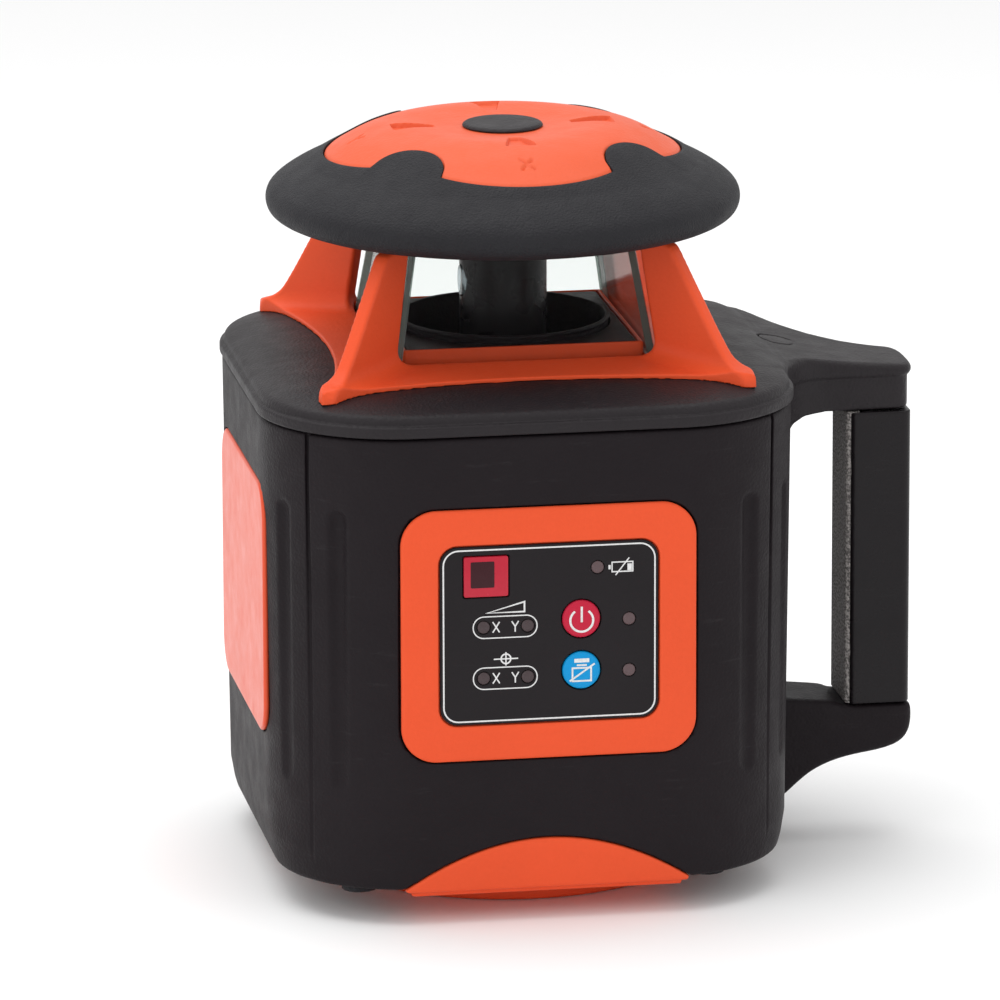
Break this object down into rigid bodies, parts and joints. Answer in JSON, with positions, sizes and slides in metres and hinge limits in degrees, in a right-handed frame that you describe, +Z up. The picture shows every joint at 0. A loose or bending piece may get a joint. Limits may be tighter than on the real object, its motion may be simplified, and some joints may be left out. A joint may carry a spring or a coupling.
{
  "type": "rotating laser level",
  "caption": "Self-levelling rotating laser level: square black case with orange panels, keypad, side handle, glazed lantern and domed cap over a spinning beam head.",
  "frame": {"origin": "on the rotor's vertical axis, in the plane of the foot's resting ring", "axes": "+Z up along the rotor's axis, +X towards the carrying handle, -Y out of the keypad face"},
  "size_m": [0.1913, 0.1537, 0.211],
  "materials": {
    "case_black": "fine moulded texture",
    "orange_plastic": "semi-gloss moulding",
    "bumper_rubber": "stippled",
    "grip_rubber": "speckled grey",
    "gloss_black": "gloss",
    "membrane": "satin film",
    "red_key": "satin",
    "blue_key": "satin",
    "lamp_lens": "tinted lens, unlit",
    "ir_filter": "dark red filter",
    "clear_glass": "clear",
    "brass": "machined",
    "steel": "machined",
    "aluminium": "cast and machined",
    "circuit_board": "solder mask",
    "cell_wrap": "plain printed film"
  },
  "bodies": {
    "housing": {"body_shell": "case_black", "base_foot": "orange_plastic", "tripod_insert": "brass", "corner_pad_1": "bumper_rubber", "corner_pad_2": "bumper_rubber", "corner_pad_3": "bumper_rubber", "corner_pad_4": "bumper_rubber", "top_cover": "case_black", "handle_grip": "gloss_black", "grip_pad": "grip_rubber", "front_bezel": "orange_plastic", "keypad": "membrane", "ir_window": "ir_filter", "lamp_battery": "lamp_lens", "lamp_slope_x": "lamp_lens", "lamp_slope_y": "lamp_lens", "lamp_cal_x": "lamp_lens", "lamp_cal_y": "lamp_lens", "lamp_power": "lamp_lens", "lamp_manual": "lamp_lens", "keypad_board": "circuit_board", "side_panel": "orange_plastic", "door_hinge_pin": "steel", "battery_tray": "case_black", "battery_cell_1": "cell_wrap", "battery_cell_2": "cell_wrap", "lantern_frame": "orange_plastic", "pane_front": "clear_glass", "pane_right": "clear_glass", "pane_back": "clear_glass", "pane_left": "clear_glass", "well_collar": "case_black", "cap_dome": "orange_plastic", "cap_bumper": "bumper_rubber", "cap_plug": "case_black", "chassis": "aluminium", "level_motor_x": "steel", "level_motor_y": "steel", "main_board": "circuit_board"},
    "gimbal_ring": {"gimbal_ring": "aluminium"},
    "barrel": {"laser_barrel": "aluminium", "laser_module": "brass", "vial_x": "clear_glass", "vial_y": "clear_glass", "spindle_bearing": "steel", "drive_motor": "steel", "drive_belt": "bumper_rubber"},
    "rotor": {"rotor_tube": "gloss_black", "beam_lens": "clear_glass", "pentaprism": "clear_glass", "rotor_pulley": "aluminium"},
    "motor_pulley": {"motor_pulley": "brass"},
    "level_nut_x": {"level_nut_x": "grip_rubber"},
    "level_nut_y": {"level_nut_y": "grip_rubber"},
    "level_screw_x": {"level_screw_x": "brass"},
    "level_screw_y": {"level_screw_y": "brass"},
    "power_button": {"power_button": "red_key"},
    "manual_button": {"manual_button": "blue_key"},
    "battery_door": {"battery_door": "orange_plastic"},
    "door_latch": {"door_latch": "case_black"}
  },
  "joints": [
    {"name": "tilt_x", "type": "hinge", "parent": "housing", "child": "gimbal_ring", "pos_m": [0, 0, 0.088], "axis": [1, 0, 0], "range_deg": [-5, 5]},
    {"name": "tilt_y", "type": "hinge", "parent": "gimbal_ring", "child": "barrel", "pos_m": [0, 0, 0.088], "axis": [0, 1, 0], "range_deg": [-5, 5]},
    {"name": "rotor_spin", "type": "hinge", "parent": "barrel", "child": "rotor", "pos_m": [0, 0, 0.134], "axis": [0, 0, 1], "continuous": true},
    {"name": "motor_spin", "type": "hinge", "parent": "barrel", "child": "motor_pulley", "pos_m": [0, 0.024, 0.127], "axis": [0, 0, 1], "continuous": true},
    {"name": "level_nut_x_slide", "type": "slide", "parent": "housing", "child": "level_nut_x", "axis": [0, 0, 1], "range_m": [-0.0039, 0.0039]},
    {"name": "level_nut_y_slide", "type": "slide", "parent": "housing", "child": "level_nut_y", "axis": [0, 0, 1], "range_m": [-0.0039, 0.0039]},
    {"name": "level_screw_x_spin", "type": "hinge", "parent": "housing", "child": "level_screw_x", "pos_m": [-0.044, 0, 0.056], "axis": [0, 0, 1], "range_deg": [-347, 347]},
    {"name": "level_screw_y_spin", "type": "hinge", "parent": "housing", "child": "level_screw_y", "pos_m": [0, -0.044, 0.088], "axis": [0, 0, 1], "range_deg": [-347, 347]},
    {"name": "power_press", "type": "slide", "parent": "housing", "child": "power_button", "axis": [0, 1, 0], "range_m": [0, 0.0007], "stiffness_N_per_m": 600},
    {"name": "manual_press", "type": "slide", "parent": "housing", "child": "manual_button", "axis": [0, 1, 0], "range_m": [0, 0.0007], "stiffness_N_per_m": 600},
    {"name": "door_hinge", "type": "hinge", "parent": "housing", "child": "battery_door", "pos_m": [0, 0.0763, 0.0463], "axis": [-1, 0, 0], "range_deg": [0, 110]},
    {"name": "latch_slide", "type": "slide", "parent": "battery_door", "child": "door_latch", "axis": [0, 0, 1], "range_m": [0, 0.004]}
  ],
  "couplings": [
    {"joint": "motor_spin", "follows": "rotor_spin", "ratio": 3.2},
    {"joint": "level_nut_y_slide", "follows": "tilt_x", "m_per_rad": -0.044},
    {"joint": "level_screw_y_spin", "follows": "tilt_x", "ratio": -69.115},
    {"joint": "level_nut_x_slide", "follows": "tilt_y", "m_per_rad": 0.044},
    {"joint": "level_screw_x_spin", "follows": "tilt_y", "ratio": 69.115}
  ]
}
